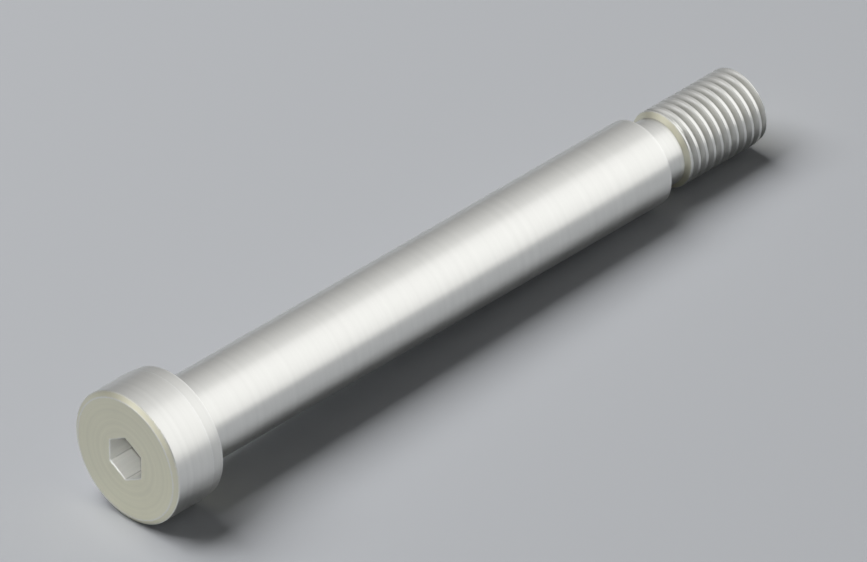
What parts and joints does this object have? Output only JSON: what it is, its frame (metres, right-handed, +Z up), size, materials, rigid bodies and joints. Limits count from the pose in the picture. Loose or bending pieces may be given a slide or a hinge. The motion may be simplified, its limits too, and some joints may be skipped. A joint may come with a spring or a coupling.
{
  "type": "shoulder bolt",
  "caption": "Shoulder bolt with a round hex socket head, a long ground shoulder that guides or pivots a part, a narrow neck and a fine-threaded end that clamps against the shoulder step.",
  "frame": {"origin": "centre of the head's bearing face, on the bolt's axis, where the head meets the shoulder", "axes": "+Y along the bolt's axis from the head towards the threaded tip, +Z up with the bolt lying on its side, two flats of the hex socket facing +X and -X"},
  "size_m": [0.01, 0.0592, 0.01],
  "materials": {
    "steel": "bright turned and ground steel, satin, with fine rings round the axis"
  },
  "bodies": {
    "root": {"shoulder_bolt": "steel"}
  },
  "joints": []
}
